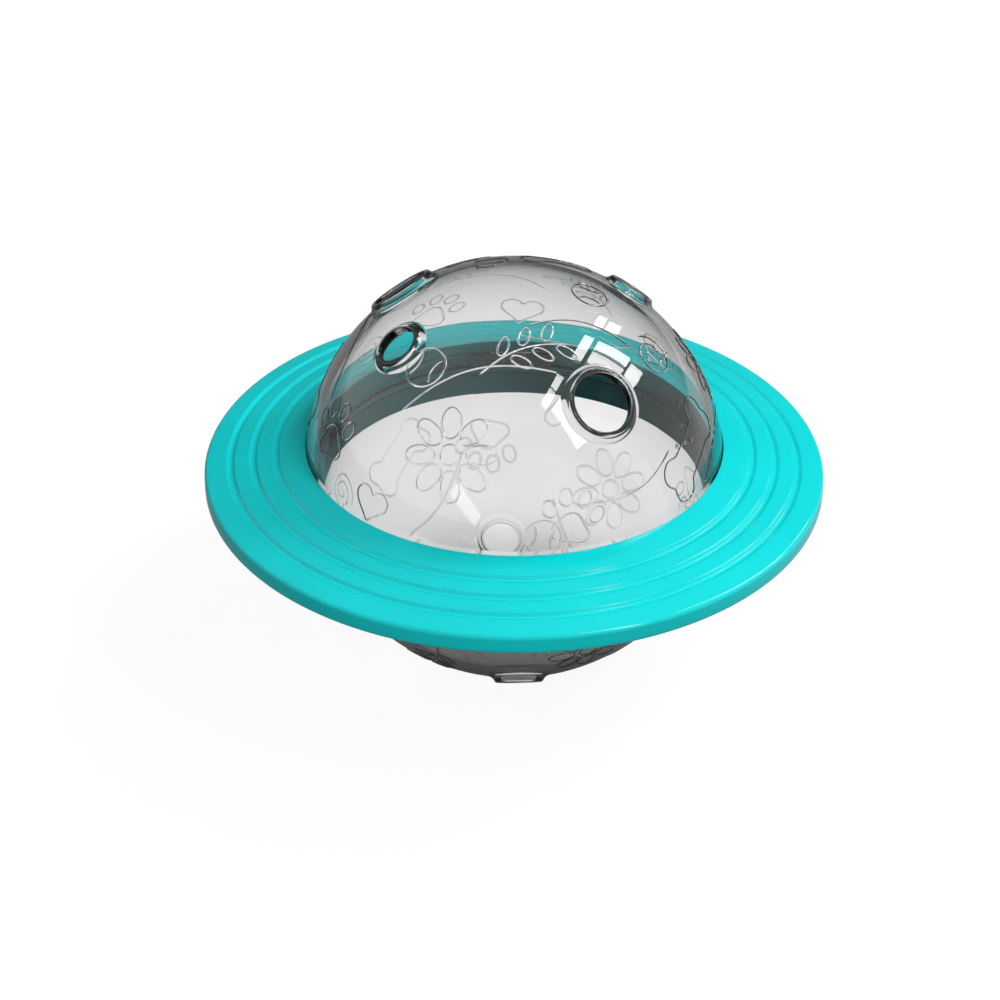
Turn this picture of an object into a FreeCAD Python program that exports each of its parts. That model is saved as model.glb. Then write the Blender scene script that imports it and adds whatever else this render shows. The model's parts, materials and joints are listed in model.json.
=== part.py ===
"""Treat dispensing ball with a saucer ring: two clear shells, joined by a bayonet through a grooved ring."""
import FreeCAD, Part
import math
import os

import Sketcher

os.makedirs("parts", exist_ok=True)

# Driving sizes, in millimetres and degrees. Heights and rises are measured from the seam plane, and turns
# from the front (-Y) towards +X.
SIZES = (
    ("ball_radius", 60.0, "outside radius of both shells"),
    ("shell_wall", 2.6, "wall of both shells"),
    ("seam_lift", 0.5, "each shell's centre stands this far from the seam"),
    ("flat_radius", 9.0, "flat under the lower shell, which the toy stands on"),
    ("skirt_inset", 0.8, "the straight skirts lie this far inside the ball"),
    ("skirt_wall", 1.9, "wall of the upper skirt, round the collar"),
    ("spigot_wall", 1.85, "wall of the lower shell's collar and tongues"),
    ("lap_clearance", 0.25, "gap round the collar, the tongues and the lugs"),
    ("collar_height", 2.2, "top of the collar above the seam"),
    ("tongue_height", 6.3, "top of the tongues above the seam"),
    ("tongue_width", 25.0, "tongue, in degrees"),
    ("tongue_turn", 1.5, "direction of the first tongue"),
    ("bayonet_count", 4, "tongues, lugs and slots"),
    ("lug_proud", 1.1, "lug beyond its tongue"),
    ("lug_width", 12.0, "lug, in degrees"),
    ("lug_thickness", 2.4, "lug, up and down"),
    ("lug_drop", 0.8, "top of the lug below the top of its tongue"),
    ("lug_slack", 0.3, "gap above, below and beside a lug in its slot"),
    ("twist", 24.0, "turn from the way in to the end of a slot"),
    ("ring_clearance", 0.3, "gap between the skirts and the ring"),
    ("ring_reach", 28.9, "ring from its bore to its rim"),
    ("ring_slope", 13.0, "fall of both ring faces, in degrees"),
    ("rim_round", 1.4, "rounding of the rim's two corners"),
    ("rim_wall", 3.0, "upright part of the rim"),
    ("hub_chamfer", 0.3, "chamfer of the ring's inner edges"),
    ("rib_thickness", 2.0, "rib in the ring's bore, between the skirts"),
    ("groove_count", 3, "grooves on each ring face"),
    ("groove_inset", 8.55, "first groove from the bore"),
    ("groove_pitch", 6.45, "from groove to groove"),
    ("groove_mouth", 2.1, "width of a groove at the ring's face"),
    ("groove_floor", 0.9, "width of a groove at its floor"),
    ("groove_depth", 0.75, "depth of a groove"),
    ("large_hole", 8.3, "radius of a large treat hole"),
    ("small_hole", 5.5, "radius of a small treat hole"),
    ("boss_land", 1.5, "from a hole to the edge of its boss"),
    ("boss_flare", 2.0, "from the edge of a boss to its foot"),
    ("boss_height", 1.7, "edge of a boss above the ball"),
    ("flare_radius", 3.6, "hollow flare of a boss"),
    ("lip_sweep", 60.0, "rounded part of a boss edge, in degrees"),
    ("lip_round", 0.7, "rounding of a boss edge"),
    ("mouth_chamfer", 0.4, "chamfer of a treat hole's mouth"),
    ("turn_a", 33.4, "first large hole"),
    ("rise_a", 44.8, "first large hole"),
    ("turn_b", -63.0, "first small hole"),
    ("rise_b", 53.4, "first small hole"),
    ("turn_c", -117.0, "second large hole"),
    ("rise_c", 52.8, "second large hole"),
    ("turn_d", 120.0, "second small hole"),
    ("rise_d", 51.4, "second small hole"),
    ("flip_turn", 61.5, "level axis that turns the upper holes over into the lower ones"),
)

doc = FreeCAD.newDocument("TreatBall")
sheet = doc.addObject("Spreadsheet::Sheet", "Sizes")
for row, (alias, value, meaning) in enumerate(SIZES, start=1):
    sheet.set(f"A{row}", alias)
    sheet.set(f"B{row}", str(value))
    sheet.set(f"C{row}", meaning)
    sheet.setAlias(f"B{row}", alias)
doc.recompute()

# Places that more than one piece uses, as expressions in the sheet's sizes.
BALL = "Sizes.ball_radius"
CAVITY = "(Sizes.ball_radius - Sizes.shell_wall)"
MID_WALL = "(Sizes.ball_radius - Sizes.shell_wall / 2)"
SKIRT = "(Sizes.ball_radius - Sizes.skirt_inset)"
SKIRT_BORE = f"({SKIRT} - Sizes.skirt_wall)"
SPIGOT = f"({SKIRT_BORE} - Sizes.lap_clearance)"
SPIGOT_BORE = f"({SPIGOT} - Sizes.spigot_wall)"
LUG = f"({SPIGOT} + Sizes.lug_proud)"
LUG_TOP = "(Sizes.tongue_height - Sizes.lug_drop)"
LUG_BOTTOM = f"({LUG_TOP} - Sizes.lug_thickness)"
SLOT_BOTTOM = f"({LUG_BOTTOM} - Sizes.lug_slack)"
SLACK_ANGLE = f"(Sizes.lug_slack / {LUG} * 180 / pi)"
RIB_HALF = "(Sizes.rib_thickness / 2)"
SHOULDER = "(Sizes.tongue_height + Sizes.lug_slack)"
SKIRT_TOP = f"(Sizes.seam_lift + sqrt({BALL} ^ 2 - {SKIRT} ^ 2))"
STANDING = f"(Sizes.seam_lift + sqrt({BALL} ^ 2 - Sizes.flat_radius ^ 2))"

STRAIGHT = None
LEAST_CUT = 1.0  # cubic millimetres


def number(text):
    """Value of an expression."""
    return float(sheet.evalExpression(text))


def origin_feature(body, role):
    """Plane or axis of a body's own origin."""
    return next(feature for feature in body.Origin.OriginFeatures if feature.Role == role)


def new_body(name):
    """Piece with its seam plane at standing height."""
    body = doc.addObject("PartDesign::Body", name)
    body.Label = name
    body.setExpression("Placement.Base.z", STANDING)
    return body


def new_sketch(body, name, role, offset=None):
    """Sketch on one of the body's origin planes, moved by the offset expression."""
    sketch = body.newObject("Sketcher::SketchObject", name)
    sketch.AttachmentSupport = [(origin_feature(body, role), "")]
    sketch.MapMode = "FlatFace"
    if offset:
        sketch.setExpression("AttachmentOffset", offset)
    return sketch


def bind(sketch, kind, *where):
    """Adds a constraint whose value is the expression that comes last."""
    *places, text = where
    index = sketch.addConstraint(Sketcher.Constraint(kind, *places, number(text)))
    sketch.setExpression(f"Constraints[{index}]", text)


def place(sketch, edge, end, x, y):
    """Holds a point of the sketch at two expressions from the origin."""
    if x == "0":
        sketch.addConstraint(Sketcher.Constraint("PointOnObject", edge, end, -2))
    else:
        bind(sketch, "DistanceX", -1, 1, edge, end, x)
    if y == "0":
        sketch.addConstraint(Sketcher.Constraint("PointOnObject", edge, end, -1))
    else:
        bind(sketch, "DistanceY", -1, 1, edge, end, y)


def arc_between(start, end, radius, turns_left):
    """Arc of under a half circle from start to end that turns left or right."""
    chord = end - start
    side = FreeCAD.Vector(-chord.y, chord.x, 0).normalize() * (1 if turns_left else -1)
    centre = (start + end) * 0.5 + side * math.sqrt(radius ** 2 - chord.Length ** 2 / 4)
    first, last = (start, end) if turns_left else (end, start)
    angles = [math.atan2(point.y - centre.y, point.x - centre.x) for point in (first, last)]
    if angles[1] < angles[0]:
        angles[1] += 2 * math.pi
    circle = Part.Circle(centre, FreeCAD.Vector(0, 0, 1), radius)
    return Part.ArcOfCircle(circle, *angles)


def draw_outline(sketch, corners):
    """Closed outline. Each corner is x, y and the way on: STRAIGHT, or "left" or "right" and a radius."""
    points = [FreeCAD.Vector(number(x), number(y), 0) for x, y, way in corners]
    edges = []
    for start, end, (x, y, way) in zip(points, points[1:] + points[:1], corners):
        if way is STRAIGHT:
            edge = sketch.addGeometry(Part.LineSegment(start, end), False)
            edges.append((edge, 1, 2))
            place(sketch, edge, 1, x, y)
            continue
        turn, radius = way
        turns_left = turn == "left"
        edge = sketch.addGeometry(arc_between(start, end, number(radius), turns_left), False)
        edges.append((edge, 1, 2) if turns_left else (edge, 2, 1))
        place(sketch, edge, edges[-1][1], x, y)
        bind(sketch, "Radius", edge, radius)
    for (edge, _, last), (after, first, _) in zip(edges, edges[1:] + edges[:1]):
        sketch.addConstraint(Sketcher.Constraint("Coincident", edge, last, after, first))


def draw_sector(sketch, inner, outer, width):
    """Piece of a flat ring, as wide as the angle says, on both sides of the sketch's X axis."""
    across = f"({width} / 2)"
    corners = [(f"{radius} * cos{across}", f"{side} * {radius} * sin{across}")
               for radius, side in ((inner, "-1"), (outer, "-1"), (outer, "1"), (inner, "1"))]
    ways = (STRAIGHT, ("left", outer), STRAIGHT, ("right", inner))
    draw_outline(sketch, [(x, y, way) for (x, y), way in zip(corners, ways)])


def revolve(body, kind, name, sketch, axis):
    """Full turn of a sketch about one of its own axes: a Revolution adds, a Groove cuts."""
    feature = body.newObject(f"PartDesign::{kind}", name)
    feature.Profile = sketch
    feature.ReferenceAxis = (sketch, [axis])
    feature.Angle = 360
    sketch.Visibility = False
    return feature


def extrude(body, kind, name, sketch, length):
    """Upward Pad or Pocket of a sketch."""
    feature = body.newObject(f"PartDesign::{kind}", name)
    feature.Profile = sketch
    feature.setExpression("Length", length)
    feature.Reversed = kind == "Pocket"
    sketch.Visibility = False
    return feature


def repeat_round(body, name, features):
    """Repeats the bayonet features round the ball's axis."""
    pattern = body.newObject("PartDesign::PolarPattern", name)
    pattern.Originals = features
    pattern.Axis = (origin_feature(body, "Z_Axis"), [""])
    pattern.Angle = 360
    pattern.setExpression("Occurrences", "Sizes.bayonet_count")
    body.Tip = pattern
    return pattern


def add_hole(body, name, offset, hole):
    """Flared boss on the ball, with its treat hole. The sketches' X axis runs out along the hole's axis."""
    edge = f"({hole} + Sizes.boss_land)"
    foot = f"({edge} + Sizes.boss_flare)"
    top = f"sqrt(({BALL} + Sizes.boss_height) ^ 2 - {edge} ^ 2)"
    foot_along = f"sqrt({BALL} ^ 2 - {foot} ^ 2)"
    lip_along = f"({top} - Sizes.lip_round)"
    lip_radius = f"({edge} - Sizes.lip_round)"
    inward = f"{MID_WALL} / {BALL}"

    sketch = new_sketch(body, f"{name}_boss_outline", "XY_Plane", offset)
    draw_outline(sketch, (
        (MID_WALL, "0", ("left", MID_WALL)),
        (f"{foot_along} * {inward}", f"{foot} * {inward}", STRAIGHT),
        (foot_along, foot, ("left", "Sizes.flare_radius")),
        (f"{lip_along} + Sizes.lip_round * cos(Sizes.lip_sweep)",
         f"{lip_radius} + Sizes.lip_round * sin(Sizes.lip_sweep)", ("right", "Sizes.lip_round")),
        (top, lip_radius, STRAIGHT),
        (top, "0", STRAIGHT),
    ))
    revolve(body, "Revolution", f"{name}_boss", sketch, "H_Axis")

    start = f"({CAVITY} - Sizes.shell_wall)"
    mouth = f"({hole} + Sizes.mouth_chamfer)"
    over = f"({top} + Sizes.boss_height)"
    sketch = new_sketch(body, f"{name}_hole_outline", "XY_Plane", offset)
    draw_outline(sketch, (
        (start, "0", STRAIGHT),
        (start, hole, STRAIGHT),
        (f"{top} - Sizes.mouth_chamfer", hole, STRAIGHT),
        (top, mouth, STRAIGHT),
        (over, mouth, STRAIGHT),
        (over, "0", STRAIGHT),
    ))
    return revolve(body, "Groove", f"{name}_hole", sketch, "H_Axis")


def add_holes(body, centre, side):
    """The four treat holes of a shell: side is 1 for the upper pattern, -1 for the same one turned over."""
    holes = []
    for name, hole in (("a", "large"), ("b", "small"), ("c", "large"), ("d", "small")):
        turn = f"Sizes.turn_{name}" if side > 0 else f"(2 * Sizes.flip_turn - Sizes.turn_{name})"
        offset = f"placement(vector(0; 0; {centre}); rotation({turn} - 90; {-side} * Sizes.rise_{name}; 0))"
        holes.append(add_hole(body, name, offset, f"Sizes.{hole}_hole"))
    return holes


def make_upper_shell():
    """Clear dome with a skirt whose bore takes the collar, and a bayonet slot for each lug."""
    body = new_body("upper_shell")
    sketch = new_sketch(body, "dome_outline", "XZ_Plane")
    draw_outline(sketch, (
        (SKIRT_BORE, RIB_HALF, STRAIGHT),
        (SKIRT, RIB_HALF, STRAIGHT),
        (SKIRT, SKIRT_TOP, ("left", BALL)),
        ("0", f"Sizes.seam_lift + {BALL}", STRAIGHT),
        ("0", f"Sizes.seam_lift + {CAVITY}", ("right", CAVITY)),
        (f"sqrt({CAVITY} ^ 2 - ({SHOULDER} - Sizes.seam_lift) ^ 2)", SHOULDER, STRAIGHT),
        (SKIRT_BORE, SHOULDER, STRAIGHT),
    ))
    revolve(body, "Revolution", "dome", sketch, "V_Axis")

    # Each slot is an L: a way in over the tongue, and a run that the lug follows for one twist.
    recess = f"({LUG} + Sizes.lap_clearance)"
    way_in = f"(Sizes.lug_width + 2 * {SLACK_ANGLE})"
    inner = f"({SKIRT_BORE} - Sizes.spigot_wall)"
    sketch = new_sketch(body, "way_in_outline", "XY_Plane",
                        f"placement(vector(0; 0; {RIB_HALF}); rotation(Sizes.tongue_turn - 90; 0; 0))")
    draw_sector(sketch, inner, recess, way_in)
    entry = extrude(body, "Pocket", "way_in", sketch, f"{LUG_TOP} + Sizes.lug_slack - {RIB_HALF}")
    halfway = "(Sizes.tongue_turn + Sizes.twist / 2 - 90)"
    sketch = new_sketch(body, "run_outline", "XY_Plane",
                        f"placement(vector(0; 0; {SLOT_BOTTOM}); rotation({halfway}; 0; 0))")
    draw_sector(sketch, inner, recess, f"({way_in} + Sizes.twist)")
    run = extrude(body, "Pocket", "run", sketch, "Sizes.lug_thickness + 2 * Sizes.lug_slack")
    slots = repeat_round(body, "slots", [entry, run])
    return body, [entry, run, slots] + add_holes(body, "Sizes.seam_lift", 1)


def make_lower_shell():
    """Clear bowl with a flat to stand on, a seat for the ring, and a collar whose tongues carry the lugs."""
    body = new_body("lower_shell")
    sketch = new_sketch(body, "bowl_outline", "XZ_Plane")
    draw_outline(sketch, (
        ("0", f"-{STANDING}", STRAIGHT),
        ("Sizes.flat_radius", f"-{STANDING}", ("left", BALL)),
        (SKIRT, f"-{SKIRT_TOP}", STRAIGHT),
        (SKIRT, f"-{RIB_HALF}", STRAIGHT),
        (SPIGOT, f"-{RIB_HALF}", STRAIGHT),
        (SPIGOT, "Sizes.collar_height", STRAIGHT),
        (SPIGOT_BORE, "Sizes.collar_height", STRAIGHT),
        (SPIGOT_BORE, f"-(Sizes.seam_lift + sqrt({CAVITY} ^ 2 - {SPIGOT_BORE} ^ 2))", ("right", CAVITY)),
        ("0", f"-(Sizes.seam_lift + {CAVITY})", STRAIGHT),
    ))
    revolve(body, "Revolution", "bowl", sketch, "V_Axis")

    direction = "rotation(Sizes.tongue_turn - 90; 0; 0)"
    sketch = new_sketch(body, "tongue_outline", "XY_Plane", f"placement(vector(0; 0; 0); {direction})")
    draw_sector(sketch, SPIGOT_BORE, SPIGOT, "Sizes.tongue_width")
    tongue = extrude(body, "Pad", "tongue", sketch, "Sizes.tongue_height")
    middle = f"(({SPIGOT} + {SPIGOT_BORE}) / 2)"
    sketch = new_sketch(body, "lug_outline", "XY_Plane",
                        f"placement(vector(0; 0; {LUG_BOTTOM}); {direction})")
    draw_sector(sketch, middle, LUG, "Sizes.lug_width")
    lug = extrude(body, "Pad", "lug", sketch, "Sizes.lug_thickness")
    repeat_round(body, "tongues", [tongue, lug])
    return body, add_holes(body, "-Sizes.seam_lift", -1)


def make_saucer_ring():
    """Ring that tapers to an upright rim, with grooves on both faces and a rib in its bore."""
    body = new_body("saucer_ring")
    rib_bore = f"({SPIGOT} + Sizes.lap_clearance)"
    bore = f"({SKIRT} + Sizes.ring_clearance)"
    rim = f"({bore} + Sizes.ring_reach)"
    rim_centre = f"({rim} - Sizes.rim_round)"
    rim_half = "(Sizes.rim_wall / 2)"
    fall = "sin(Sizes.ring_slope)"
    level = "cos(Sizes.ring_slope)"

    def face_height(radius):
        """Height of the ring's upper face at a radius."""
        climb = f"tan(Sizes.ring_slope) * ({rim_centre} - {radius})"
        return f"({rim_half} + Sizes.rim_round / {level} + {climb})"

    hub_side = f"({face_height(bore)} - Sizes.hub_chamfer)"
    hub_edge = (f"({bore} + Sizes.hub_chamfer)", face_height(f"({bore} + Sizes.hub_chamfer)"))
    rim_edge = (f"{rim_centre} + Sizes.rim_round * {fall}", f"({rim_half} + Sizes.rim_round * {level})")
    sketch = new_sketch(body, "ring_outline", "XZ_Plane")
    draw_outline(sketch, (
        (rib_bore, f"-{RIB_HALF}", STRAIGHT),
        (rib_bore, RIB_HALF, STRAIGHT),
        (bore, RIB_HALF, STRAIGHT),
        (bore, hub_side, STRAIGHT),
        (*hub_edge, STRAIGHT),
        (*rim_edge, ("right", "Sizes.rim_round")),
        (rim, rim_half, STRAIGHT),
        (rim, f"-{rim_half}", ("right", "Sizes.rim_round")),
        (rim_edge[0], f"-{rim_edge[1]}", STRAIGHT),
        (hub_edge[0], f"-{hub_edge[1]}", STRAIGHT),
        (bore, f"-{hub_side}", STRAIGHT),
        (bore, f"-{RIB_HALF}", STRAIGHT),
    ))
    revolve(body, "Revolution", "ring", sketch, "V_Axis")

    # Each groove is square to the face, with sloping sides that run on past the face.
    flank = "((Sizes.groove_mouth - Sizes.groove_floor) / 2)"
    sketch = new_sketch(body, "groove_outline", "XZ_Plane")
    for index in range(int(number("Sizes.groove_count"))):
        middle = f"({bore} + Sizes.groove_inset + {index} * Sizes.groove_pitch)"
        corners = []
        for along, above in (("-Sizes.groove_floor / 2", "-Sizes.groove_depth"),
                             ("Sizes.groove_floor / 2", "-Sizes.groove_depth"),
                             (f"Sizes.groove_mouth / 2 + {flank}", "Sizes.groove_depth"),
                             (f"-Sizes.groove_mouth / 2 - {flank}", "Sizes.groove_depth")):
            corners.append((f"{middle} + ({along}) * {level} + {above} * {fall}",
                            f"{face_height(middle)} - ({along}) * {fall} + {above} * {level}", STRAIGHT))
        draw_outline(sketch, corners)
    upper = revolve(body, "Groove", "upper_grooves", sketch, "V_Axis")
    lower = body.newObject("PartDesign::Mirrored", "lower_grooves")
    lower.Originals = [upper]
    lower.MirrorPlane = (origin_feature(body, "XY_Plane"), [""])
    body.Tip = lower
    return body, [upper, lower]


def check(pieces, cuts):
    """Stops if anything failed, or if a cut took nothing away."""
    for item in doc.Objects:
        if "Invalid" in item.State or "Error" in item.State:
            raise RuntimeError(f"{item.Name} failed: {item.State}")
    for piece in pieces:
        if piece.Shape.isNull() or not piece.Shape.isValid() or len(piece.Shape.Solids) != 1:
            raise RuntimeError(f"{piece.Label} is not one sound solid")
    for cut in cuts:
        if cut.Shape.Volume > cut.BaseFeature.Shape.Volume - LEAST_CUT:
            raise RuntimeError(f"{cut.Name} cuts nothing")


made = [make_upper_shell(), make_lower_shell(), make_saucer_ring()]
doc.recompute()
pieces = [piece for piece, _ in made]
check(pieces, [cut for _, cuts in made for cut in cuts])
for piece in pieces:
    piece.Shape.exportStep(f"parts/{piece.Label}.step")
    print(f"{piece.Label}: {piece.Shape.Volume / 1000:.2f} cm3")
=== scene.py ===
"""Looks of the treat ball: two clear moulded shells with drawn relief, and a teal saucer ring."""

import bpy
import bmesh
import json
import math
from mathutils import Matrix, Vector

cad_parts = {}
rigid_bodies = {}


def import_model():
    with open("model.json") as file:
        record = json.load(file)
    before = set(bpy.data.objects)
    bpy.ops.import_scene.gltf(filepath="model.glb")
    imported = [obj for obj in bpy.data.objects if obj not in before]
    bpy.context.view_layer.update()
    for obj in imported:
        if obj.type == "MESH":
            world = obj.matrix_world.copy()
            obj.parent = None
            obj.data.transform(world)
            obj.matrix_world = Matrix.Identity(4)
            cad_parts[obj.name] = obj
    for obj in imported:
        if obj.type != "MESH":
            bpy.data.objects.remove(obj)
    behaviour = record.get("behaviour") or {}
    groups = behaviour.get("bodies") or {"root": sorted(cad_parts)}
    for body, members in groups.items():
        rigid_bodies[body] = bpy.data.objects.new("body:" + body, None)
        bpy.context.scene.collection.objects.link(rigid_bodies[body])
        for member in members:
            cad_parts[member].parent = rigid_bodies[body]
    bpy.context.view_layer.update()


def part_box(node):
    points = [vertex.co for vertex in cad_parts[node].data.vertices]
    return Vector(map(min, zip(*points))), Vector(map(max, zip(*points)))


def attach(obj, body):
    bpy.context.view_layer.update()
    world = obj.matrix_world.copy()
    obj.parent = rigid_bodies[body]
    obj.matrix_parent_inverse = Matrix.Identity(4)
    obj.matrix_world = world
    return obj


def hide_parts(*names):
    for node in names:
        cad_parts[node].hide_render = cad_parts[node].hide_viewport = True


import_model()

MM = 0.001
ring_low, ring_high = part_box("saucer_ring")
dome_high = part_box("upper_shell")[1]
SEAM = (ring_low.z + ring_high.z) / 2

# Sizes of the shells and the ring, in metres, as the solids have them.
SEAM_LIFT = 0.5 * MM
BALL = dome_high.z - SEAM - SEAM_LIFT
WALL = 2.6 * MM
CAVITY = BALL - WALL
SKIRT = BALL - 0.8 * MM
SKIRT_BORE = SKIRT - 1.9 * MM
SPIGOT = SKIRT_BORE - 0.25 * MM
SPIGOT_BORE = SPIGOT - 1.85 * MM
RIB_HALF = 1.0 * MM
COLLAR_TOP = 2.2 * MM
TONGUE_TOP = 6.3 * MM
SHOULDER = 6.6 * MM
FLAT = 9.0 * MM
EDGE = 0.25 * MM
RING_BORE = SKIRT + 0.3 * MM
RIM_ROUND = 1.4 * MM
RIM_WALL_HALF = 1.5 * MM
HUB_CHAMFER = 0.3 * MM
SLOPE = math.radians(13.0)
FIRST_GROOVE_MM, GROOVE_PITCH_MM = 8.55, 6.45
GROOVES = [RING_BORE + (FIRST_GROOVE_MM + GROOVE_PITCH_MM * index) * MM for index in range(3)]
GROOVE_MOUTH_HALF = 1.25 * MM
GROOVE_FLOOR_HALF = 0.42 * MM
GROOVE_DEPTH = 0.75 * MM
FACE_ROUND = 0.35 * MM
GROOVE_ROUND = 0.2 * MM

# The treat holes of the upper shell: turn and rise in degrees, and radius. The lower shell is the upper one
# turned over about the level axis at FLIP degrees.
HOLES = (
    (33.4, 44.8, 8.3 * MM), (-63.0, 53.4, 5.5 * MM),
    (-117.0, 52.8, 8.3 * MM), (120.0, 51.4, 5.5 * MM),
)
FLIP = 61.5
BOSS_LAND = 1.5 * MM
BOSS_FLARE = 2.0 * MM
BOSS_HEIGHT = 1.7 * MM
BOSS_LIP = 0.7 * MM
BOSS_DEPTH = 1.4 * MM
HOLE_MOUTH = 0.45 * MM
HOLE_BEVEL = 2.1 * MM
HOLE_ROUND = 0.5 * MM

# The closure's blocks: inner and outer radius, lowest and highest point over the seam, turn of their middle
# from the tongue's middle in degrees, and width in degrees.
TONGUE_TURN = 1.5
SLOT_WAY = (55.4 * MM, 58.4 * MM, 0.2 * MM, 5.8 * MM, 0.0, 12.6)
SLOT_RUN = (55.4 * MM, 58.4 * MM, 2.8 * MM, 5.8 * MM, 12.0, 36.6)
TONGUE = (SPIGOT_BORE, SPIGOT, 1.2 * MM, TONGUE_TOP, 0.0, 25.0)
LUG = (56.1 * MM, 58.15 * MM, 3.1 * MM, 5.5 * MM, 0.0, 12.0)

# Steps round the finer meshes and along the arc of a sphere, and degrees per step of the closure's blocks.
BALL_STEPS = 384
BALL_ARC_STEPS = 84
HOLE_STEPS = 160
RING_STEPS = 512
SECTOR_STEP = 0.75

# Corners past these angles are sharp: in radians on the closure's blocks, in degrees on the shells and ring.
SECTOR_CORNER = 0.6
SHELL_CORNER = 32
RING_CORNER = 30


def direction(turn, rise):
    """Unit vector from the ball's centre at a turn from the front to the right and a rise, in degrees."""
    turn, rise = math.radians(turn), math.radians(rise)
    return Vector((math.sin(turn) * math.cos(rise), -math.cos(turn) * math.cos(rise), math.sin(rise)))


def aim(turn, rise, side):
    """Matrix whose X axis runs from the shell's own centre out through the ball at a turn and a rise."""
    axis = direction(turn, rise)
    across = Vector((0, 0, 1)).cross(axis).normalized()
    third = axis.cross(across)
    turned = Matrix((axis, across, third)).transposed().to_4x4()
    return Matrix.Translation((0, 0, SEAM + side * SEAM_LIFT)) @ turned


def arc(centre, radius, start, end, steps):
    """Points of an arc in a plane, angles in degrees."""
    angles = [math.radians(start + (end - start) * step / steps) for step in range(steps + 1)]
    return [(centre[0] + radius * math.cos(a), centre[1] + radius * math.sin(a)) for a in angles]


def mesh_object(name, vertices, faces):
    """New object in the scene from vertices and faces."""
    mesh = bpy.data.meshes.new(name)
    mesh.from_pydata(vertices, [], faces)
    mesh.update()
    thing = bpy.data.objects.new(name, mesh)
    bpy.context.scene.collection.objects.link(thing)
    return thing


def lathe(name, outline, steps, axis="Z"):
    """Closed outline of (radius, height) points turned about an axis. Points at radius 0 are poles."""
    vertices, rings = [], []
    for radius, along in outline:
        count = 1 if radius < 1e-9 else steps
        rings.append((len(vertices), count))
        for step in range(count):
            angle = 2 * math.pi * step / steps
            u, v = radius * math.cos(angle), radius * math.sin(angle)
            vertices.append((u, v, along) if axis == "Z" else (along, u, v))
    faces = []
    pairs = list(zip(rings, rings[1:] + rings[:1]))
    for (first, count), (after, next_count) in pairs:
        if count == 1 and next_count == 1:
            continue
        for step in range(steps):
            turn = (step + 1) % steps
            corners = [first + (step if count > 1 else 0), first + (turn if count > 1 else 0),
                       after + (turn if next_count > 1 else 0), after + (step if next_count > 1 else 0)]
            unique = list(dict.fromkeys(corners))
            faces.append(unique)
    thing = mesh_object(name, vertices, faces)
    outward(thing)
    return thing


def outward(thing):
    """Turns all the faces outward."""
    form = bmesh.new()
    form.from_mesh(thing.data)
    bmesh.ops.recalc_face_normals(form, faces=form.faces)
    if form.calc_volume(signed=True) < 0:
        bmesh.ops.reverse_faces(form, faces=form.faces)
    form.to_mesh(thing.data)
    form.free()


def merge(base, tool, operation):
    """Joins, cuts or intersects base with a closed tool, and removes the tool."""
    step = base.modifiers.new("merge", "BOOLEAN")
    step.solver = "MANIFOLD"
    step.operation = operation
    step.object = tool
    made = bpy.data.meshes.new_from_object(base.evaluated_get(bpy.context.evaluated_depsgraph_get()))
    base.modifiers.remove(step)
    old, base.data = base.data, made
    bpy.data.meshes.remove(old)
    bpy.data.objects.remove(tool)


def rounded(points, radius, steps=4):
    """Open run of points whose inner corners are rounded."""
    made = [points[0]]
    for before, corner, after in zip(points, points[1:], points[2:]):
        before, corner, after = Vector(before), Vector(corner), Vector(after)
        cut = min(radius, (before - corner).length / 2, (after - corner).length / 2)
        start = corner + (before - corner).normalized() * cut
        end = corner + (after - corner).normalized() * cut
        for step in range(steps + 1):
            t = step / steps
            made.append(tuple(start.lerp(corner, t).lerp(corner.lerp(end, t), t)))
    return made + [points[-1]]


def sector(name, block, start, round_by=0.0):
    """Closed block of the closure, with its middle turned on from a start in degrees."""
    inner, outer, low, high, middle, width = block
    middle += start
    steps = max(4, round(width / SECTOR_STEP))
    corners = ((inner, low), (outer, low), (outer, high), (inner, high))
    vertices, faces = [], []
    for step in range(steps + 1):
        turn = math.radians(middle + width * (step / steps - 0.5))
        for radius, height in corners:
            vertices.append((radius * math.sin(turn), -radius * math.cos(turn), SEAM + height))
    for step in range(steps):
        base = 4 * step
        for side in range(4):
            after = (side + 1) % 4
            faces.append((base + side, base + after, base + 4 + after, base + 4 + side))
    faces.append((0, 1, 2, 3))
    faces.append(tuple(4 * steps + side for side in range(4)))
    thing = mesh_object(name, vertices, faces)
    outward(thing)
    if round_by:
        form = bmesh.new()
        form.from_mesh(thing.data)
        sharp = [edge for edge in form.edges if edge.calc_face_angle(0.0) > SECTOR_CORNER]
        bmesh.ops.bevel(form, geom=sharp, offset=round_by, segments=3, profile=0.5, affect="EDGES")
        form.to_mesh(thing.data)
        form.free()
    return thing


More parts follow.
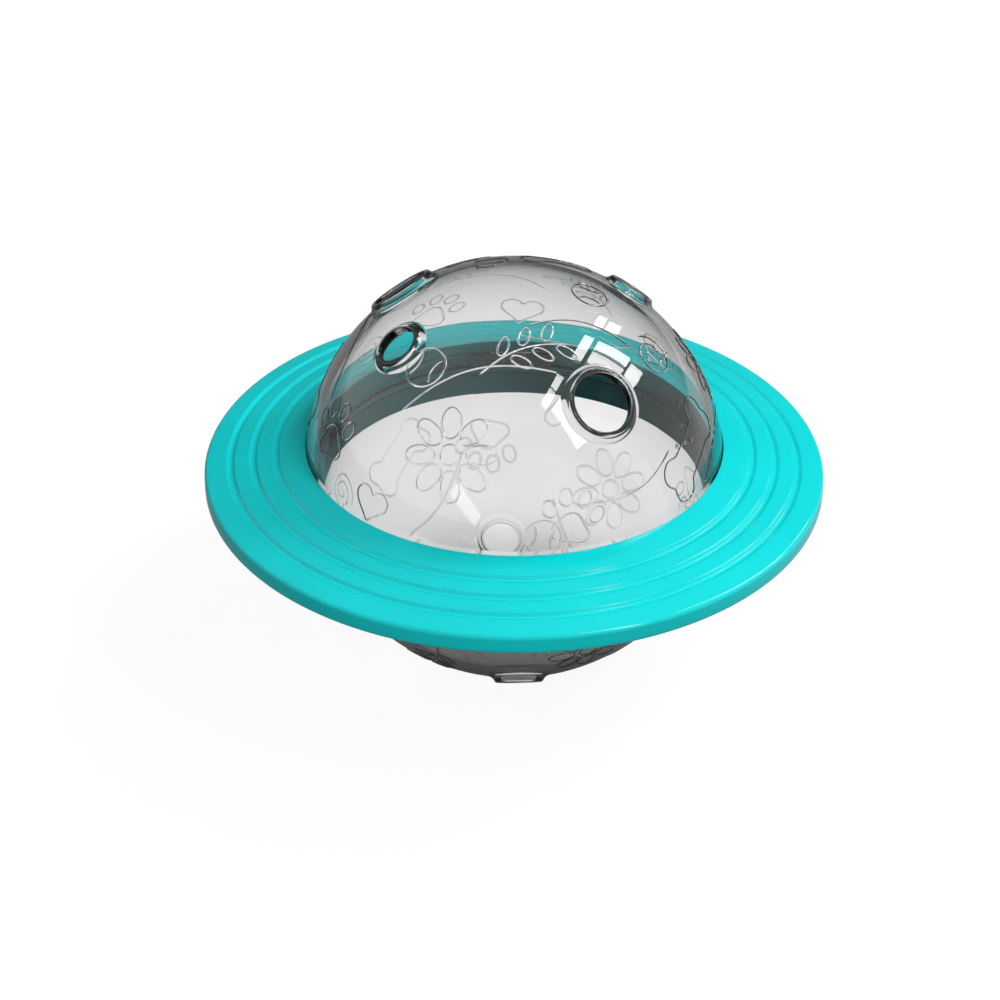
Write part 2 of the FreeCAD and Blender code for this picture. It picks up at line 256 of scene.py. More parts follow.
def shell_base(name, side):
    """Revolved wall of a shell. The upper one (side 1) ends in a skirt, the lower (side -1) in a collar."""
    low_angle = math.degrees(math.acos(SKIRT / BALL))
    if side > 0:
        inner_angle = math.degrees(math.asin((SHOULDER - SEAM_LIFT) / CAVITY))
        edge = rounded([(SKIRT_BORE, SHOULDER), (SKIRT_BORE, RIB_HALF), (SKIRT, RIB_HALF),
                        (SKIRT, SEAM_LIFT + BALL * math.sin(math.radians(low_angle)))], EDGE)
        outer = arc((0, SEAM_LIFT), BALL, low_angle, 90, BALL_ARC_STEPS)[1:]
        inner = arc((0, SEAM_LIFT), CAVITY, 90, inner_angle, BALL_ARC_STEPS)
        outline = edge + outer + inner
    else:
        foot_angle = math.degrees(math.asin(FLAT / BALL))
        inner_angle = math.degrees(math.acos(SPIGOT_BORE / CAVITY))
        flat_height = -SEAM_LIFT - BALL * math.cos(math.radians(foot_angle))
        edge = rounded([(SKIRT, -SEAM_LIFT - BALL * math.sin(math.radians(low_angle))), (SKIRT, -RIB_HALF),
                        (SPIGOT, -RIB_HALF), (SPIGOT, COLLAR_TOP), (SPIGOT_BORE, COLLAR_TOP),
                        (SPIGOT_BORE, -SEAM_LIFT - CAVITY * math.sin(math.radians(inner_angle)))], EDGE)
        outer = arc((0, -SEAM_LIFT), BALL, foot_angle - 90, -low_angle, BALL_ARC_STEPS)[:-1]
        inner = arc((0, -SEAM_LIFT), CAVITY, -inner_angle, -90, BALL_ARC_STEPS)[1:]
        outline = [(0, flat_height)] + outer + edge + inner
    placed = [(0.0 if radius < 1e-7 else radius, SEAM + height) for radius, height in outline]
    return lathe(name, placed, BALL_STEPS)


def boss(name, hole):
    """Flared boss round a treat hole, along X from the shell's centre."""
    edge = hole + BOSS_LAND
    foot = edge + BOSS_FLARE
    top = math.sqrt((BALL + BOSS_HEIGHT) ** 2 - edge ** 2)
    lip, bed = BOSS_LIP, BALL - BOSS_DEPTH
    foot_angle = math.asin(foot / BALL)
    out = Vector((math.sin(foot_angle), math.cos(foot_angle)))
    lip_centre = Vector((edge - lip, top - lip))
    along = out.dot(lip_centre)
    gap = 2 * BALL * along + lip ** 2 - BALL ** 2 - lip_centre.length_squared
    flare = gap / (2 * (BALL - along - lip))
    centre = (BALL + flare) * out
    blend = math.degrees(math.atan2(lip_centre.y - centre.y, lip_centre.x - centre.x)) % 360
    start = math.degrees(math.atan2(-out.y, -out.x)) % 360
    bed_angles = [foot_angle * step / 8 for step in range(9)]
    bed_line = [(bed * math.sin(angle), bed * math.cos(angle)) for angle in bed_angles]
    flare_line = arc(centre, flare, start, blend, 12)
    lip_line = arc(lip_centre, lip, blend - 180, 90, 8)[1:]
    outline = bed_line + flare_line + lip_line + [(0.0, top)]
    return lathe(name, outline, HOLE_STEPS, "X")


def hole_tool(name, hole):
    """Cutter of a treat hole, with a round edge outside and a wide bevel inside."""
    edge = hole + BOSS_LAND
    top = math.sqrt((BALL + BOSS_HEIGHT) ** 2 - edge ** 2)
    mouth, back = HOLE_MOUTH, HOLE_BEVEL
    inside = math.sqrt(CAVITY ** 2 - (hole + back) ** 2)
    start, end = inside - 5 * MM, top + 3 * MM
    lower = rounded([(hole + back, inside), (hole, inside + back), (hole, top - mouth)], HOLE_ROUND)[:-1]
    upper = arc((hole + mouth, top - mouth), mouth, 180, 90, 8)
    outline = [(0.0, start), (hole + back, start)] + lower + upper + [(hole + mouth, end), (0.0, end)]
    return lathe(name, outline, HOLE_STEPS, "X")


def holes_of(side):
    """Turn, rise and radius of the shell's four treat holes."""
    if side > 0:
        return HOLES
    return [(2 * FLIP - turn, -rise, radius) for turn, rise, radius in HOLES]


def make_shell(name, side):
    """A clear half of the ball with its four bossed holes and its part of the closure."""
    shell = shell_base(name, side)
    for turn, rise, hole in holes_of(side):
        form = boss("boss", hole)
        form.data.transform(aim(turn, rise, side))
        merge(shell, form, "UNION")
    for turn, rise, hole in holes_of(side):
        form = hole_tool("hole", hole)
        form.data.transform(aim(turn, rise, side))
        merge(shell, form, "DIFFERENCE")
    for quarter in range(4):
        start = TONGUE_TURN + 90 * quarter
        if side > 0:
            merge(shell, sector("way", SLOT_WAY, start), "DIFFERENCE")
            merge(shell, sector("run", SLOT_RUN, start), "DIFFERENCE")
        else:
            merge(shell, sector("tongue", TONGUE, start, EDGE), "UNION")
            merge(shell, sector("lug", LUG, start, EDGE), "UNION")
    return shell


def even(points, closed):
    """The line through the points with even steps, its corners softened. Lengths are millimetres."""
    run = [Vector(point) for point in points] + ([Vector(points[0])] if closed else [])
    total = sum((b - a).length for a, b in zip(run, run[1:]))
    count = max(6, round(total / LINE_STEP))
    made, travelled, index = [], 0.0, 0
    for number in range(count if closed else count + 1):
        wanted = total * number / count
        while index < len(run) - 2 and travelled + (run[index + 1] - run[index]).length < wanted:
            travelled += (run[index + 1] - run[index]).length
            index += 1
        piece = run[index + 1] - run[index]
        share = (wanted - travelled) / piece.length if piece.length else 0.0
        made.append(run[index] + piece * min(max(share, 0.0), 1.0))
    for _ in range(LINE_SOFTENING):
        ends = (made[0], made[-1])
        before = made[-1:] + made[:-1]
        after = made[1:] + made[:1]
        made = [(a + 2 * b + c) / 4 for a, b, c in zip(before, made, after)]
        if not closed:
            made[0], made[-1] = ends
    return made


def circle(x, y, radius, squeeze=1.0, tilt=0.0):
    """Closed ellipse as one stroke: its points, and that it is closed."""
    turn = math.radians(tilt)
    points = []
    for step in range(48):
        angle = 2 * math.pi * step / 48
        u, v = radius * math.cos(angle), squeeze * radius * math.sin(angle)
        points.append((x + u * math.cos(turn) - v * math.sin(turn),
                       y + u * math.sin(turn) + v * math.cos(turn)))
    return points, True


def bone():
    """Outline of a biscuit bone."""
    half_length, half_spread, lobe_radius = 9.2, 2.9, 3.6
    points = []
    for side, turned in ((1, 0), (-1, 180)):
        for lobe in (1, -1):
            x, y = side * half_length, side * lobe * half_spread
            start, end = (165, -45) if lobe > 0 else (45, -165)
            for angle in range(start + turned, end + turned, -15):
                points.append((x + lobe_radius * math.cos(math.radians(angle)),
                               y + lobe_radius * math.sin(math.radians(angle))))
    return [(points, True)]


def paw():
    """A pad and four toes."""
    pad = []
    for step in range(60):
        angle = 2 * math.pi * step / 60
        reach = 5.2 + 0.9 * math.cos(3 * (angle - math.pi / 2))
        pad.append((1.12 * reach * math.cos(angle), -3.2 + 0.86 * reach * math.sin(angle)))
    toes = [circle(x, y, 2.9, 0.72, tilt) for x, y, tilt in
            ((-7.6, 2.2, 115), (-3.0, 6.4, 100), (3.0, 6.4, 80), (7.6, 2.2, 65))]
    return [(pad, True)] + toes


def daisy():
    """A flower with eight petals."""
    centre_radius, reach, petal_radius = 2.6, 7.6, 3.9
    strokes = [circle(0, 0, centre_radius)]
    for petal in range(8):
        tilt = 45 * petal + 10
        away = math.radians(tilt)
        strokes.append(circle(reach * math.cos(away), reach * math.sin(away), petal_radius, 0.62, tilt))
    return strokes


def sprig():
    """A bent stem with paired leaves."""
    length, bend, reach, leaf_radius = 26, 2.6, 4.4, 3.4
    stem = [(-length / 2 + length * step / 20, bend * math.sin(math.pi * step / 20) - 1.0)
            for step in range(21)]
    strokes = [(stem, False)]
    for share, side in ((0.25, 1), (0.35, -1), (0.5, 1), (0.6, -1), (0.75, 1), (0.85, -1)):
        x, y = -length / 2 + length * share, bend * math.sin(math.pi * share) - 1.0
        tilt = side * 52
        away = math.radians(tilt)
        x, y = x + reach * math.cos(away), y + reach * math.sin(away)
        strokes.append(circle(x, y, leaf_radius, 0.42, tilt))
    return strokes


def heart():
    """Outline of a heart."""
    size = 0.42
    points = []
    for step in range(60):
        t = 2 * math.pi * step / 60
        y = 13 * math.cos(t) - 5 * math.cos(2 * t) - 2 * math.cos(3 * t) - math.cos(4 * t)
        points.append((size * 16 * math.sin(t) ** 3, size * y))
    return [(points, True)]


def swirl():
    """Spiral line with about two turns."""
    points = []
    for step in range(90):
        share = step / 89
        angle = 4.4 * math.pi * share
        reach = 1.2 + 6.2 * share
        points.append((reach * math.cos(angle), reach * math.sin(angle)))
    return [(points, False)]


def play_ball():
    """A ball with two curved seams."""
    radius, away = 6.6, 9.2
    strokes = [circle(0, 0, radius)]
    for side in (-1, 1):
        angles = [math.radians(angle) for angle in range(-38, 39, 4)]
        seam = [(side * (away - radius * math.cos(angle)), radius * math.sin(angle)) for angle in angles]
        strokes.append((seam, False))
    return strokes


def sweep(length, bend, dots):
    """Long bowed line, followed by small dots."""
    points = [(length * (step / 40 - 0.5), bend * math.sin(math.pi * step / 40)) for step in range(41)]
    strokes = [(points, False)]
    for number in range(dots):
        strokes.append(circle(length / 2 + 3.4 * (number + 1), -0.9 * (number + 1), 0.75))
    return strokes


# The raised lines. Each drawing has its turn and rise on the ball and its own tilt, in degrees, and a scale.
# Each sweep has its length and bend in millimetres, its number of dots, and then its turn, rise and tilt.
DRAWINGS = (
    (daisy, -20, 33, 0, 1.15), (bone, 62, 22, 28, 1.15), (paw, -66, 24, 14, 1.0),
    (sprig, 4, 62, 20, 1.0), (paw, 16, 17, -14, 0.9), (heart, -42, 14, -8, 0.85),
    (play_ball, -42, 53, 0, 0.9), (swirl, 70, 48, 0, 0.9), (bone, -98, 22, -30, 1.0),
    (daisy, 99, 30, 0, 1.0), (play_ball, 128, 20, 20, 1.0), (sprig, 152, 38, 60, 1.0),
    (heart, 178, 22, 10, 1.0), (paw, -152, 26, 18, 1.0), (daisy, -150, 55, 0, 0.9),
    (swirl, -128, 20, 0, 0.9), (play_ball, 88, 70, 0, 0.8), (heart, -155, 73, 30, 0.8),
    (bone, 152, 66, 40, 0.8),
)
SWEEPS = (
    (44, 5, 0, -16, 52, 24), (30, -4, 3, 36, 24, 12), (34, 4, 2, -92, 38, -30), (38, 5, 3, 82, 14, 8),
    (40, -5, 0, 160, 14, -6), (34, 4, 3, -172, 42, 20), (30, 4, 2, 44, 65, -40),
)

# The raised lines, in millimetres: half width, height over their middle, how far that is sunk into the wall,
# and step. Also their number of sides and of softening passes.
RIDGE_HALF = 0.3
RIDGE_RISE = 0.28
RIDGE_SUNK = 0.05
RIDGE_SIDES = 10
LINE_STEP = 0.6
LINE_SOFTENING = 3


def ridge(points, closed, turn, rise, tilt, scale):
    """Raised rounded line on the upper shell that follows a stroke drawn flat in millimetres."""
    centre = direction(turn, rise)
    east = Vector((0, 0, 1)).cross(centre).normalized()
    north = centre.cross(east)
    tilt = math.radians(tilt)
    ball = BALL / MM
    placed = []
    for point in even([(scale * x, scale * y) for x, y in points], closed):
        x = point.x * math.cos(tilt) - point.y * math.sin(tilt)
        y = point.x * math.sin(tilt) + point.y * math.cos(tilt)
        away = math.hypot(x, y)
        share = math.sin(away / ball) / away if away else 0.0
        placed.append(centre * math.cos(away / ball) + (east * x + north * y) * share)
    count, sides = len(placed), RIDGE_SIDES
    ends = [1.0] * count
    if not closed:
        for place, factor in ((0, 0.3), (1, 0.85)):
            ends[place] = ends[count - 1 - place] = factor
    vertices, faces = [], []
    for index, out in enumerate(placed):
        ahead = placed[(index + 1) % count] if closed or index < count - 1 else placed[index]
        behind = placed[index - 1] if closed or index else placed[index]
        across = (ahead - behind).normalized().cross(out).normalized()
        for side in range(sides):
            angle = 2 * math.pi * (side + 0.5) / sides
            rise_by = RIDGE_RISE * math.sin(angle) * ends[index] - RIDGE_SUNK
            aside = RIDGE_HALF * math.cos(angle) * ends[index]
            place = (out * (ball + rise_by) + across * aside) * MM
            vertices.append(place + Vector((0, 0, SEAM + SEAM_LIFT)))
    for index in range(count if closed else count - 1):
        here, there = sides * index, sides * ((index + 1) % count)
        for side in range(sides):
            after = (side + 1) % sides
            faces.append((here + side, here + after, there + after, there + side))
    if not closed:
        faces.append(tuple(range(sides)))
        faces.append(tuple(sides * (count - 1) + side for side in range(sides)))
    thing = mesh_object("line", vertices, faces)
    outward(thing)
    return thing


def add_relief(shell, side):
    """Joins all the raised lines to a shell. The lower shell is the upper one turned over."""
    group = bpy.data.collections.new("relief")
    bpy.context.scene.collection.children.link(group)
    placed = [(stroke, turn, rise, tilt, scale)
              for draw, turn, rise, tilt, scale in DRAWINGS for stroke in draw()]
    placed += [(stroke, turn, rise, tilt, 1.0) for length, bend, dots, turn, rise, tilt in SWEEPS
               for stroke in sweep(length, bend, dots)]
    flip_axis = direction(FLIP, 0)
    flip = (Matrix.Translation((0, 0, SEAM)) @ Matrix.Rotation(math.pi, 4, flip_axis)
            @ Matrix.Translation((0, 0, -SEAM)))
    for (points, closed), turn, rise, tilt, scale in placed:
        line = ridge(points, closed, turn, rise, tilt, scale)
        if side < 0:
            line.data.transform(flip)
        bpy.context.scene.collection.objects.unlink(line)
        group.objects.link(line)
    step = shell.modifiers.new("relief", "BOOLEAN")
    step.solver = "MANIFOLD"
    step.operation = "UNION"
    step.operand_type = "COLLECTION"
    step.collection = group
    made = bpy.data.meshes.new_from_object(shell.evaluated_get(bpy.context.evaluated_depsgraph_get()))
    shell.modifiers.remove(step)
    old, shell.data = shell.data, made
    bpy.data.meshes.remove(old)
    for line in list(group.objects):
        bpy.data.objects.remove(line)
    bpy.data.collections.remove(group)


def polish(shell, side):
    """Smooth shading whose normals are exact on both spheres of a shell, with crisp corners elsewhere."""
    close_by, along_sphere = 0.012 * MM, 0.9
    mesh = shell.data
    mesh.shade_smooth()
    mesh.set_sharp_from_angle(angle=math.radians(SHELL_CORNER))
    centre = Vector((0, 0, SEAM + side * SEAM_LIFT))
    away = [(vertex.co - centre) for vertex in mesh.vertices]
    near = []
    for offset in away:
        outer, inner = (abs(offset.length - radius) < close_by for radius in (BALL, CAVITY))
        near.append(1 if outer else -1 if inner else 0)
    normals = [corner.vector.copy() for corner in mesh.corner_normals]
    for face in mesh.polygons:
        kinds = {near[vertex] for vertex in face.vertices}
        if len(kinds) != 1 or 0 in kinds:
            continue
        kind = kinds.pop()
        middle = (face.center - centre).normalized()
        if kind * face.normal.dot(middle) < along_sphere:
            continue
        for corner in face.loop_indices:
            normals[corner] = kind * away[mesh.loops[corner].vertex_index].normalized()
    mesh.normals_split_custom_set(normals)


def make_ring():
    """The saucer ring: sloped faces with three crisp grooves each, an upright rim and a rib in the bore."""
    hub = (ring_high.z - ring_low.z) / 2
    rim = ring_high.x
    rim_centre = rim - RIM_ROUND
    fall, level = math.sin(SLOPE), math.cos(SLOPE)

    def face_height(radius):
        """Height of the upper face over the seam at a radius."""
        return hub - (radius - RING_BORE - HUB_CHAMFER) * math.tan(SLOPE)

    plain = GROOVES[0] - 3 * MM
    corners = [(SKIRT_BORE, 0.0), (SKIRT_BORE, RIB_HALF), (RING_BORE, RIB_HALF),
               (RING_BORE, face_height(RING_BORE)), (plain, face_height(plain))]
    top = rounded(corners, FACE_ROUND, 6)
    for middle in GROOVES:
        shape = []
        for along, above in ((-2 * GROOVE_MOUTH_HALF, 0.0), (-GROOVE_MOUTH_HALF, 0.0),
                             (-GROOVE_FLOOR_HALF, -GROOVE_DEPTH), (GROOVE_FLOOR_HALF, -GROOVE_DEPTH),
                             (GROOVE_MOUTH_HALF, 0.0), (2 * GROOVE_MOUTH_HALF, 0.0)):
            shape.append((middle + along * level + above * fall,
                          face_height(middle) - along * fall + above * level))
        top += rounded(shape, GROOVE_ROUND)
    top += arc((rim_centre, RIM_WALL_HALF), RIM_ROUND, 90 - math.degrees(SLOPE), 0, 12)
    top.append((rim, 0.0))
    bottom = [(radius, -height) for radius, height in reversed(top[1:-1])]
    outline = [(radius, SEAM + height) for radius, height in top + bottom]
    ring = lathe("teal_saucer", outline, RING_STEPS)
    ring.data.shade_smooth()
    ring.data.set_sharp_from_angle(angle=math.radians(RING_CORNER))
    return ring


NOISE_RANGE = (0.3, 0.7)


def new_material(name):
    """Empty material, its node tree and its output."""
    material = bpy.data.materials.new(name)
    material.use_nodes = True
    tree = material.node_tree
    tree.nodes.clear()
    return material, tree, tree.nodes.new("ShaderNodeOutputMaterial")


def node(tree, kind, **values):
    """New node with given properties, and input values under their socket names."""
    made = tree.nodes.new("ShaderNode" + kind)
    for key, value in values.items():
        if hasattr(made, key):
            setattr(made, key, value)
        else:
            made.inputs[key.replace("_", " ")].default_value = value
    return made


def math_node(tree, operation, first, second=0.0):
    """Math node of two links or numbers, and its result socket."""
    made = tree.nodes.new("ShaderNodeMath")
    made.operation = operation
    for place, value in enumerate((first, second)):
        if isinstance(value, (int, float)):
            made.inputs[place].default_value = value
        else:
            tree.links.new(value, made.inputs[place])
    return made.outputs[0]


def noise(tree, scale, detail):
    """Noise over the object's own coordinates."""
    place = tree.nodes.new("ShaderNodeTexCoord")
    made = node(tree, "TexNoise", Scale=scale, Detail=detail, Roughness=0.5)
    tree.links.new(place.outputs["Object"], made.inputs["Vector"])
    return made.outputs["Fac"]


def ramp(tree, factor, low, high):
    """Colour that runs from low to high over the usual range of a noise."""
    made = tree.nodes.new("ShaderNodeValToRGB")
    for element, position, colour in zip(made.color_ramp.elements, NOISE_RANGE, (low, high)):
        element.position = position
        element.color = (*colour, 1)
    tree.links.new(factor, made.inputs["Fac"])
    return made.outputs["Color"]


def spread(tree, factor, low, high):
    """Number that runs from low to high over the usual range of a noise."""
    made = node(tree, "MapRange", From_Min=NOISE_RANGE[0], From_Max=NOISE_RANGE[1], To_Min=low, To_Max=high)
    tree.links.new(factor, made.inputs["Value"])
    return made.outputs["Result"]


def bump(tree, height, strength, distance):
    """Normal from a height."""
    made = node(tree, "Bump", Strength=strength, Distance=distance)
    tree.links.new(height, made.inputs["Height"])
    return made.outputs["Normal"]


def clear_plastic():
    """Glossy clear plastic with a faint warm grey cast and the slight waviness of a moulding."""
    pale, paler = (0.955, 0.953, 0.952), (0.985, 0.983, 0.982)
    material, tree, output = new_material("clear_plastic")
    shader = node(tree, "BsdfPrincipled", IOR=1.5)
    shader.inputs["Transmission Weight"].default_value = 1.0
    waves, haze = noise(tree, 38.0, 2.0), noise(tree, 220.0, 3.0)
    tree.links.new(ramp(tree, waves, pale, paler), shader.inputs["Base Color"])
    tree.links.new(spread(tree, haze, 0.0, 0.012), shader.inputs["Roughness"])
    tree.links.new(bump(tree, waves, 0.1, 0.0004), shader.inputs["Normal"])
    tree.links.new(shader.outputs["BSDF"], output.inputs["Surface"])
    depth = node(tree, "VolumeAbsorption", Color=(0.48, 0.477, 0.475, 1), Density=78.0)
    tree.links.new(depth.outputs["Volume"], output.inputs["Volume"])
    return material


def teal_plastic():
    """Glossy opaque teal plastic, a little uneven in colour and gloss, with fine moulding texture."""
    deep, bright = (0.0005, 0.68, 0.70), (0.001, 0.73, 0.75)
    material, tree, output = new_material("teal_plastic")
    shader = node(tree, "BsdfPrincipled", IOR=1.5)
    shader.inputs["Specular IOR Level"].default_value = 0.2
    clouds, sheen, grain = noise(tree, 30.0, 4.0), noise(tree, 160.0, 3.0), noise(tree, 900.0, 2.0)
    tree.links.new(ramp(tree, clouds, deep, bright), shader.inputs["Base Color"])
    tree.links.new(spread(tree, sheen, 0.03, 0.07), shader.inputs["Roughness"])
    tree.links.new(bump(tree, grain, 0.05, 0.0002), shader.inputs["Normal"])
    tree.links.new(shader.outputs["BSDF"], output.inputs["Surface"])
    return material


def ray_shares(tree):
    """Which ray it is, as shares of 0 or 1: straight from the camera, through clear walls, mirrored outside
    clear walls, mirrored inside or behind them, and scattered light that comes through them."""
    path = tree.nodes.new("ShaderNodeLightPath")
    unscattered = math_node(tree, "LESS_THAN", path.outputs["Diffuse Depth"], 0.5)
    unmirrored = math_node(tree, "LESS_THAN", path.outputs["Glossy Depth"], 0.5)
    unentered = math_node(tree, "LESS_THAN", path.outputs["Transmission Depth"], 0.5)
    direct = math_node(tree, "MULTIPLY", unscattered, unmirrored)
    through = math_node(tree, "MULTIPLY", path.outputs["Is Transmission Ray"], direct)
    mirrored = math_node(tree, "MULTIPLY", unscattered, math_node(tree, "SUBTRACT", 1.0, unmirrored))
    outside = math_node(tree, "MULTIPLY", path.outputs["Is Glossy Ray"],
                        math_node(tree, "MULTIPLY", mirrored, unentered))
    inside = math_node(tree, "SUBTRACT", mirrored, outside)
    scattered = math_node(tree, "MULTIPLY", path.outputs["Is Transmission Ray"],
                          math_node(tree, "SUBTRACT", 1.0, unscattered))
    return path.outputs["Is Camera Ray"], through, outside, inside, scattered


def chosen(tree, shares, levels, otherwise):
    """The level whose share is 1, or the other level where none is."""
    level = otherwise
    for share, wanted in zip(shares, levels):
        mixed = tree.nodes.new("ShaderNodeMix")
        for place, value in ((0, share), (2, level), (3, wanted)):
            if isinstance(value, (int, float)):
                mixed.inputs[place].default_value = value
            else:
                tree.links.new(value, mixed.inputs[place])
        level = mixed.outputs[0]
    return level


def fade(tree, value, start, end, low, high):
    """Smooth change from low to high while the value runs from start to end."""
    made = node(tree, "MapRange", interpolation_type="SMOOTHSTEP")
    for name, number in (("From Min", start), ("From Max", end), ("To Min", low), ("To Max", high)):
        made.inputs[name].default_value = number
    tree.links.new(value, made.inputs["Value"])
    return made.outputs["Result"]


def make_world():
    """White backdrop, also through clear walls, a dim studio in reflections, and soft light from above."""
    world = bpy.data.worlds.new("studio")
    world.use_nodes = True
    bpy.context.scene.world = world
    tree = world.node_tree
    tree.nodes.clear()
    place = tree.nodes.new("ShaderNodeTexCoord")
    parts = tree.nodes.new("ShaderNodeSeparateXYZ")
    tree.links.new(place.outputs["Generated"], parts.inputs[0])
    height, back = parts.outputs["Z"], parts.outputs["Y"]
    towards = node(tree, "VectorMath", operation="DOT_PRODUCT")
    tree.links.new(place.outputs["Generated"], towards.inputs[0])
    towards.inputs[1].default_value = direction(*GLOW_TOWARDS)
    glow = fade(tree, towards.outputs["Value"], 0.35, 1.0, SCATTERED, GLOW)
    sky = fade(tree, height, -0.1, 0.8, AMBIENT_LEVEL, AMBIENT_ABOVE)
    backdrop = fade(tree, back, 0.3, 0.9, 1.0, BEHIND)
    mirrored = fade(tree, parts.outputs["X"], -0.6, 0.3, MIRRORED_LEFT, MIRRORED)
    level = chosen(tree, ray_shares(tree), (1.0, THROUGH, backdrop, mirrored, glow), sky)
    background = node(tree, "Background", Color=(1, 1, 1, 1))
    tree.links.new(level, background.inputs["Strength"])
    output = tree.nodes.new("ShaderNodeOutputWorld")
    tree.links.new(background.outputs[0], output.inputs["Surface"])


def make_floor():
    """Plain pale floor that shows about white to the camera and keeps the shadow, with a shade painted into
    its glow near the object where it is seen through or in the clear walls.
    """
    corners = [(-FLOOR_HALF, -FLOOR_HALF, 0), (FLOOR_HALF, -FLOOR_HALF, 0),
               (FLOOR_HALF, FLOOR_HALF, 0), (-FLOOR_HALF, FLOOR_HALF, 0)]
    floor = mesh_object("floor", corners, [(0, 1, 2, 3)])
    floor.location.z = -FLOOR_UNDER
    material, tree, output = new_material("pale_floor")
    shares = ray_shares(tree)
    diffuse = node(tree, "BsdfDiffuse")
    colour = tree.nodes.new("ShaderNodeCombineColor")
    albedo = chosen(tree, shares[:4], (FLOOR_SEEN,) * 4, FLOOR_ALBEDO)
    for channel in range(3):
        tree.links.new(albedo, colour.inputs[channel])
    tree.links.new(colour.outputs[0], diffuse.inputs["Color"])
    glow = node(tree, "Emission", Color=(1, 1, 1, 1))
    place = tree.nodes.new("ShaderNodeNewGeometry")
    parts = tree.nodes.new("ShaderNodeSeparateXYZ")
    tree.links.new(place.outputs["Position"], parts.inputs[0])
    pale = fade(tree, parts.outputs["X"], 0.0, 0.4, PALE, PALE_RIGHT)
    # Painted contact shade: ambient occlusion darkens the floor's glow near the object, to rays through and
    # off the clear walls.
    near = tree.nodes.new("ShaderNodeAmbientOcclusion")
    near.samples = 8
    near.inputs["Distance"].default_value = PAINTED_SHADE_REACH
    painted_contact_shade = fade(tree, near.outputs["AO"], 0.0, 1.0, PAINTED_CONTACT_SHADE, 1.0)
    levels = [FLOOR_GLOW]
    for level in (THROUGH, pale, MIRRORED):
        levels.append(math_node(tree, "MULTIPLY", level, painted_contact_shade))
    tree.links.new(chosen(tree, shares[:4], levels, 0.0), glow.inputs["Strength"])
    both = tree.nodes.new("ShaderNodeAddShader")
    tree.links.new(diffuse.outputs[0], both.inputs[0])
    tree.links.new(glow.outputs[0], both.inputs[1])
    tree.links.new(both.outputs[0], output.inputs["Surface"])
    floor.data.materials.append(material)


def dim_inside(lamp):
    """Makes a lamp dimmer in the reflections inside and behind the clear walls."""
    lamp.use_nodes = True
    tree = lamp.node_tree
    tree.nodes.clear()
    emission = tree.nodes.new("ShaderNodeEmission")
    output = tree.nodes.new("ShaderNodeOutputLight")
    path = tree.nodes.new("ShaderNodeLightPath")
    mirrored = math_node(tree, "GREATER_THAN", path.outputs["Glossy Depth"], 0.5)
    entered = math_node(tree, "GREATER_THAN", path.outputs["Transmission Depth"], 0.5)
    inside = math_node(tree, "MULTIPLY", mirrored, entered)
    strength = chosen(tree, (inside,), (WINDOW_INSIDE,), 1.0)
    tree.links.new(strength, emission.inputs["Strength"])
    tree.links.new(emission.outputs[0], output.inputs["Surface"])


def make_window():
    """Tall window to the right, one lamp for each pane."""
    facing = direction(*WINDOW_TOWARDS)
    level = Vector((0, 0, 1)).cross(facing).normalized()
    upright = facing.cross(level)
    roll = math.radians(WINDOW_ROLL)
    along = level * math.cos(roll) + upright * math.sin(roll)
    up = upright * math.cos(roll) - level * math.sin(roll)
    middle = Vector((0, 0, SEAM)) + facing * WINDOW_AWAY
    turned = Matrix((along, up, facing)).transposed().to_4x4()
    for number, (across, height, width, tall) in enumerate(WINDOW_PANES):
        lamp = bpy.data.lights.new(f"pane_{number}", "AREA")
        lamp.shape = "RECTANGLE"
        lamp.size, lamp.size_y = width, tall
        lamp.energy = WINDOW_RADIANCE * math.pi * width * tall
        thing = bpy.data.objects.new(f"pane_{number}", lamp)
        bpy.context.scene.collection.objects.link(thing)
        thing.matrix_world = Matrix.Translation(middle + along * across + up * height) @ turned
        dim_inside(lamp)


def make_front_light():
    """Large soft lamp above the front, which no gloss shows."""
    lamp = bpy.data.lights.new("front_light", "AREA")
    lamp.shape = "ELLIPSE"
    lamp.size, lamp.size_y = FRONT_SIZE
    lamp.energy = FRONT_RADIANCE * math.pi * math.pi / 4 * lamp.size * lamp.size_y
    thing = bpy.data.objects.new("front_light", lamp)
    bpy.context.scene.collection.objects.link(thing)
    thing.visible_glossy = False
    thing.visible_transmission = False
    facing = direction(*FRONT_TOWARDS)
    turned = facing.to_track_quat("Z", "Y").to_matrix().to_4x4()
    thing.matrix_world = Matrix.Translation(Vector((0, 0, SEAM)) + facing * FRONT_AWAY) @ turned


def make_camera():
    """Camera at the photograph's angle, aimed so that the ball's centre lands where it does there."""
    rise, roll = math.radians(CAMERA_RISE), math.radians(CAMERA_ROLL)
    aside, below = CAMERA_CENTRE
    seen = Vector((aside / CAMERA_FOCAL, below / CAMERA_FOCAL, 1.0)).normalized()
    back = Vector((0, -math.cos(rise), math.sin(rise)))
    axes = Matrix(((1, 0, 0), (0, math.sin(rise), math.cos(rise)), -back))
    towards = Vector((0, 0, 1)).rotation_difference(seen).to_matrix()
    turned = Matrix.Rotation(roll, 3, "Z") @ towards @ axes
    camera = bpy.data.objects.new("camera", bpy.data.cameras.new("camera"))
    bpy.context.scene.collection.objects.link(camera)
    camera.data.sensor_width = SENSOR_WIDTH
    camera.data.lens = SENSOR_WIDTH * CAMERA_FOCAL / IMAGE_SIZE
    right, up, ahead = turned.row[0], turned.row[1], turned.row[2]
    axes_out = Matrix((right, up, -ahead)).transposed().to_4x4()
    camera.matrix_world = Matrix.Translation(Vector((0, 0, SEAM)) + back * CAMERA_AWAY) @ axes_out
    bpy.context.scene.camera = camera


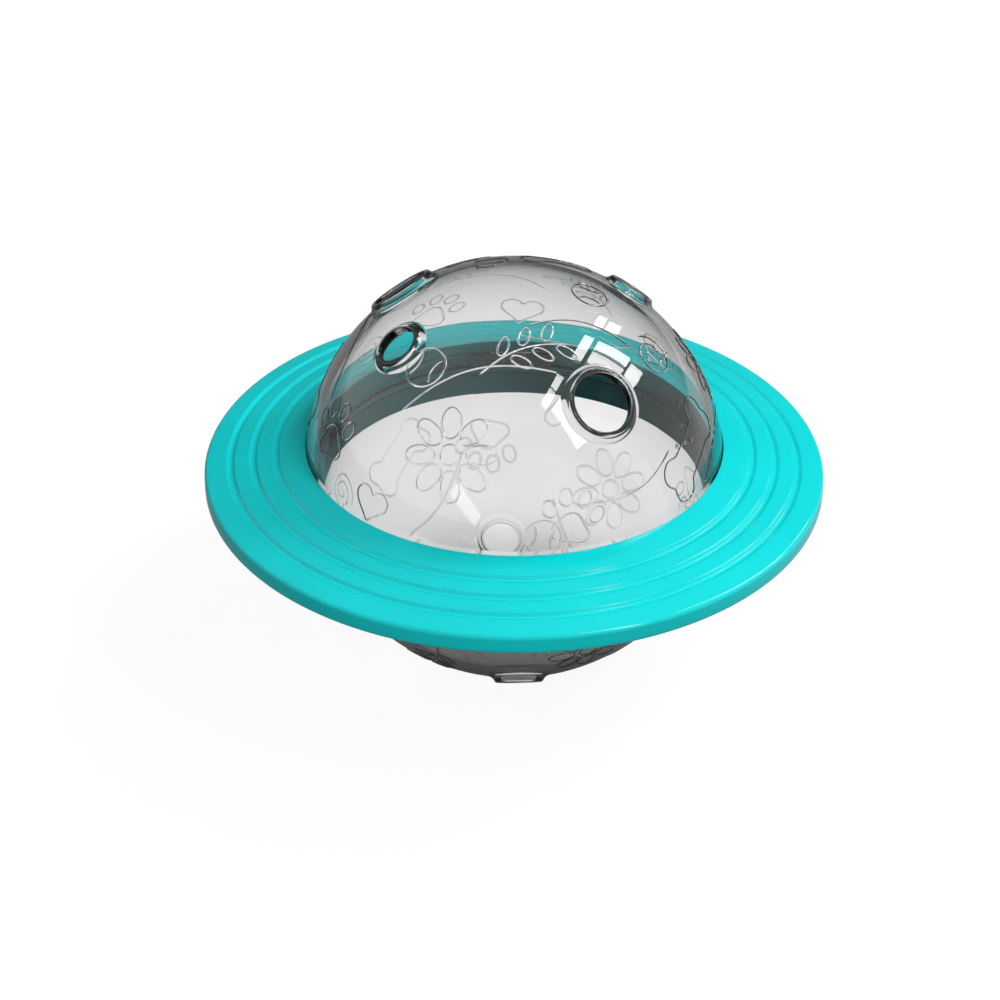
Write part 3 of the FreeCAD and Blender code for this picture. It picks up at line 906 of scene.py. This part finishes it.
# The camera: rise and roll in degrees, metres from the ball's centre, focal length in pixels of the photo,
# and the pixels that set where the ball's centre lies in it.
CAMERA_RISE = 32.08
CAMERA_ROLL = -0.55
CAMERA_AWAY = 0.850
CAMERA_FOCAL = 2962.0
CAMERA_CENTRE = (13.65, 33.23)
IMAGE_SIZE = 1000.0
SENSOR_WIDTH = 36.0

# Light of the world on the object, level and from above.
AMBIENT_LEVEL = 0.09
AMBIENT_ABOVE = 0.19

# Brightness of the surroundings to other rays, where 1 is white: through clear walls; the backdrop behind
# the object in outer reflections; the floor there, from left to right; inner reflections, to the right and
# to the left; and scattered light, with its glow and the turn and rise that it comes from.
THROUGH = 1.0
BEHIND = 0.15
PALE = 0.2
PALE_RIGHT = 1.0
MIRRORED = 0.1
MIRRORED_LEFT = 0.8
SCATTERED = 0.08
GLOW = 0.9
GLOW_TOWARDS = (75.0, 50.0)

# The floor: half its side and its depth under the object in metres, its own glow, its colour where it is
# seen and where it only throws light back, and the painted shade in its glow near the object to rays other
# than the camera's.
FLOOR_HALF = 3
FLOOR_UNDER = 0.0002
FLOOR_GLOW = 0.92
FLOOR_SEEN = 0.12
FLOOR_ALBEDO = 0.3
PAINTED_CONTACT_SHADE = 0.15
PAINTED_SHADE_REACH = 0.035

# The front lamp: turn and rise in degrees, metres from the ball, width and height, brightness.
FRONT_TOWARDS = (-10.0, 40.0)
FRONT_AWAY = 1.2
FRONT_SIZE = (1.0, 0.6)
FRONT_RADIANCE = 2.4

# The window: turn, rise and roll in degrees, metres from the ball, brightness, its share inside clear walls,
# and each pane's place along the window and up it from its middle, its width and its height.
WINDOW_TOWARDS = (78.1, 18.9)
WINDOW_ROLL = -6.4
WINDOW_AWAY = 0.9
WINDOW_RADIANCE = 14.0
WINDOW_INSIDE = 0.3
WINDOW_PANES = (
    (1.095, 0.900, 0.360, 0.120), (1.050, 0.722, 0.280, 0.155),
    (0.392, 0.930, 0.455, 0.140), (0.505, 0.620, 0.165, 0.360), (0.287, 0.620, 0.175, 0.360),
    (0.402, 0.355, 0.245, 0.120),
    (-0.254, 1.012, 0.212, 0.125), (-0.522, 1.008, 0.265, 0.145), (-0.492, 0.570, 0.195, 0.560),
)

make_camera()
clear, teal = clear_plastic(), teal_plastic()
for piece_name, side, body, cad_node in (("dome_shell", 1, "dome", "upper_shell"),
                                         ("bowl_shell", -1, "bowl", "lower_shell")):
    shell = make_shell(piece_name, side)
    add_relief(shell, side)
    polish(shell, side)
    shell.data.materials.clear()
    shell.data.materials.append(clear)
    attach(shell, body)
    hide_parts(cad_node)
saucer = make_ring()
saucer.data.materials.append(teal)
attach(saucer, "ring")
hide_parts("saucer_ring")
make_world()
make_floor()
make_window()
make_front_light()
bpy.context.scene.view_settings.view_transform = "Standard"
